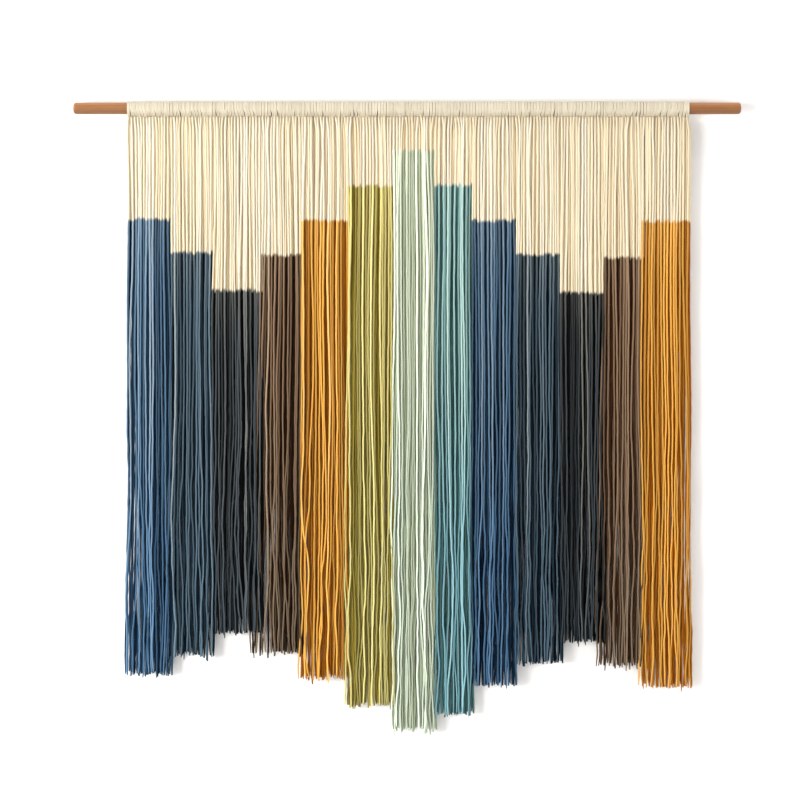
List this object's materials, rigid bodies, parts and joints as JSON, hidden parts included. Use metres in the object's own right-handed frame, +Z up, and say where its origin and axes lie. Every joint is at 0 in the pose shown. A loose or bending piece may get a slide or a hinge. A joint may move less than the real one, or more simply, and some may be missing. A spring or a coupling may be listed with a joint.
{
  "type": "tapestry wall hanging",
  "caption": "Wall hanging of long dip-dyed yarn hitched side by side on a round wooden dowel, in coloured bands with stepped, loose-cut ends.",
  "frame": {"origin": "on the dowel's axis at its mid-length", "axes": "+X along the dowel towards its right end as seen from the front, +Y towards the wall behind, +Z up"},
  "size_m": [0.9142, 0.0205, 0.8603],
  "materials": {
    "wood": "satin, warm reddish brown, fine grain along the dowel",
    "yarn_denim": "matt plied yarn, undyed cream at the top and dip-dyed denim below",
    "yarn_slate": "matt plied yarn, undyed cream at the top and dip-dyed slate below",
    "yarn_charcoal": "matt plied yarn, undyed cream at the top and dip-dyed charcoal below",
    "yarn_taupe": "matt plied yarn, undyed cream at the top and dip-dyed taupe below",
    "yarn_amber": "matt plied yarn, undyed cream at the top and dip-dyed amber below",
    "yarn_olive": "matt plied yarn, undyed cream at the top and dip-dyed olive below",
    "yarn_mint": "matt plied yarn, undyed cream at the top and dip-dyed mint below",
    "yarn_teal": "matt plied yarn, undyed cream at the top and dip-dyed teal below"
  },
  "bodies": {
    "rod": {"dowel": "wood"},
    "band_01_denim": {"band_01_denim_hank_1": "yarn_denim", "band_01_denim_hank_2": "yarn_denim", "band_01_denim_hank_3": "yarn_denim", "band_01_denim_hank_4": "yarn_denim"},
    "band_02_slate": {"band_02_slate_hank_1": "yarn_slate", "band_02_slate_hank_2": "yarn_slate", "band_02_slate_hank_3": "yarn_slate", "band_02_slate_hank_4": "yarn_slate"},
    "band_03_charcoal": {"band_03_charcoal_hank_1": "yarn_charcoal", "band_03_charcoal_hank_2": "yarn_charcoal", "band_03_charcoal_hank_3": "yarn_charcoal", "band_03_charcoal_hank_4": "yarn_charcoal"},
    "band_04_taupe": {"band_04_taupe_hank_1": "yarn_taupe", "band_04_taupe_hank_2": "yarn_taupe", "band_04_taupe_hank_3": "yarn_taupe", "band_04_taupe_hank_4": "yarn_taupe"},
    "band_05_amber": {"band_05_amber_hank_1": "yarn_amber", "band_05_amber_hank_2": "yarn_amber", "band_05_amber_hank_3": "yarn_amber", "band_05_amber_hank_4": "yarn_amber"},
    "band_06_olive": {"band_06_olive_hank_1": "yarn_olive", "band_06_olive_hank_2": "yarn_olive", "band_06_olive_hank_3": "yarn_olive", "band_06_olive_hank_4": "yarn_olive"},
    "band_07_mint": {"band_07_mint_hank_1": "yarn_mint", "band_07_mint_hank_2": "yarn_mint", "band_07_mint_hank_3": "yarn_mint", "band_07_mint_hank_4": "yarn_mint"},
    "band_08_teal": {"band_08_teal_hank_1": "yarn_teal", "band_08_teal_hank_2": "yarn_teal", "band_08_teal_hank_3": "yarn_teal", "band_08_teal_hank_4": "yarn_teal"},
    "band_09_denim": {"band_09_denim_hank_1": "yarn_denim", "band_09_denim_hank_2": "yarn_denim", "band_09_denim_hank_3": "yarn_denim", "band_09_denim_hank_4": "yarn_denim"},
    "band_10_slate": {"band_10_slate_hank_1": "yarn_slate", "band_10_slate_hank_2": "yarn_slate", "band_10_slate_hank_3": "yarn_slate", "band_10_slate_hank_4": "yarn_slate"},
    "band_11_charcoal": {"band_11_charcoal_hank_1": "yarn_charcoal", "band_11_charcoal_hank_2": "yarn_charcoal", "band_11_charcoal_hank_3": "yarn_charcoal", "band_11_charcoal_hank_4": "yarn_charcoal"},
    "band_12_taupe": {"band_12_taupe_hank_1": "yarn_taupe", "band_12_taupe_hank_2": "yarn_taupe", "band_12_taupe_hank_3": "yarn_taupe", "band_12_taupe_hank_4": "yarn_taupe"},
    "band_13_amber": {"band_13_amber_hank_1": "yarn_amber", "band_13_amber_hank_2": "yarn_amber", "band_13_amber_hank_3": "yarn_amber", "band_13_amber_hank_4": "yarn_amber"}
  },
  "joints": [
    {"name": "band_01_denim_swing", "type": "hinge", "parent": "rod", "child": "band_01_denim", "pos_m": [0, 0, 0], "axis": [-1, 0, 0], "range_deg": [0, 90]},
    {"name": "band_02_slate_swing", "type": "hinge", "parent": "rod", "child": "band_02_slate", "pos_m": [0, 0, 0], "axis": [-1, 0, 0], "range_deg": [0, 90]},
    {"name": "band_03_charcoal_swing", "type": "hinge", "parent": "rod", "child": "band_03_charcoal", "pos_m": [0, 0, 0], "axis": [-1, 0, 0], "range_deg": [0, 90]},
    {"name": "band_04_taupe_swing", "type": "hinge", "parent": "rod", "child": "band_04_taupe", "pos_m": [0, 0, 0], "axis": [-1, 0, 0], "range_deg": [0, 90]},
    {"name": "band_05_amber_swing", "type": "hinge", "parent": "rod", "child": "band_05_amber", "pos_m": [0, 0, 0], "axis": [-1, 0, 0], "range_deg": [0, 90]},
    {"name": "band_06_olive_swing", "type": "hinge", "parent": "rod", "child": "band_06_olive", "pos_m": [0, 0, 0], "axis": [-1, 0, 0], "range_deg": [0, 90]},
    {"name": "band_07_mint_swing", "type": "hinge", "parent": "rod", "child": "band_07_mint", "pos_m": [0, 0, 0], "axis": [-1, 0, 0], "range_deg": [0, 90]},
    {"name": "band_08_teal_swing", "type": "hinge", "parent": "rod", "child": "band_08_teal", "pos_m": [0, 0, 0], "axis": [-1, 0, 0], "range_deg": [0, 90]},
    {"name": "band_09_denim_swing", "type": "hinge", "parent": "rod", "child": "band_09_denim", "pos_m": [0, 0, 0], "axis": [-1, 0, 0], "range_deg": [0, 90]},
    {"name": "band_10_slate_swing", "type": "hinge", "parent": "rod", "child": "band_10_slate", "pos_m": [0, 0, 0], "axis": [-1, 0, 0], "range_deg": [0, 90]},
    {"name": "band_11_charcoal_swing", "type": "hinge", "parent": "rod", "child": "band_11_charcoal", "pos_m": [0, 0, 0], "axis": [-1, 0, 0], "range_deg": [0, 90]},
    {"name": "band_12_taupe_swing", "type": "hinge", "parent": "rod", "child": "band_12_taupe", "pos_m": [0, 0, 0], "axis": [-1, 0, 0], "range_deg": [0, 90]},
    {"name": "band_13_amber_swing", "type": "hinge", "parent": "rod", "child": "band_13_amber", "pos_m": [0, 0, 0], "axis": [-1, 0, 0], "range_deg": [0, 90]}
  ]
}
